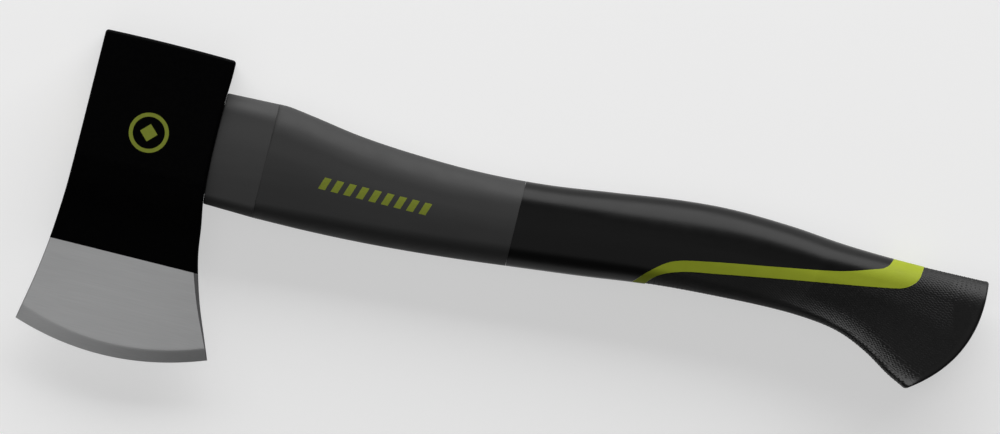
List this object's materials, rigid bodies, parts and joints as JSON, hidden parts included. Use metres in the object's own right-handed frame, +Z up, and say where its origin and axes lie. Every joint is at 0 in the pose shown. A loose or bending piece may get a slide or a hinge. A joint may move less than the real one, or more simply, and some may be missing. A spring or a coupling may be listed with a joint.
{
  "type": "hatchet",
  "caption": "Hatchet with a forged head, ground bit and flat poll, a moulded handle over a fibreglass core, and a curved two-colour rubber grip with a flared butt.",
  "frame": {"origin": "on the surface the hatchet rests on, under the middle of the head's eye", "axes": "+X along the handle from the head to the butt, +Y from the cutting edge to the poll, +Z up through the thickness, out of the head's upper cheek"},
  "size_m": [0.3549, 0.1205, 0.026],
  "materials": {
    "head_paint": "satin",
    "ground_steel": "satin",
    "epoxy": "gloss",
    "dam_rubber": "matte",
    "fibreglass": "satin",
    "jacket_plastic": "satin",
    "grip_rubber": "satin",
    "accent_rubber": "satin",
    "print_lime": "satin"
  },
  "bodies": {
    "root": {"axe_head": "head_paint", "eye_epoxy": "epoxy", "epoxy_dam": "dam_rubber", "fibreglass_core": "fibreglass", "shaft_jacket": "jacket_plastic", "grip_upper": "grip_rubber", "grip_accent": "accent_rubber", "grip_lower": "grip_rubber"}
  },
  "joints": []
}
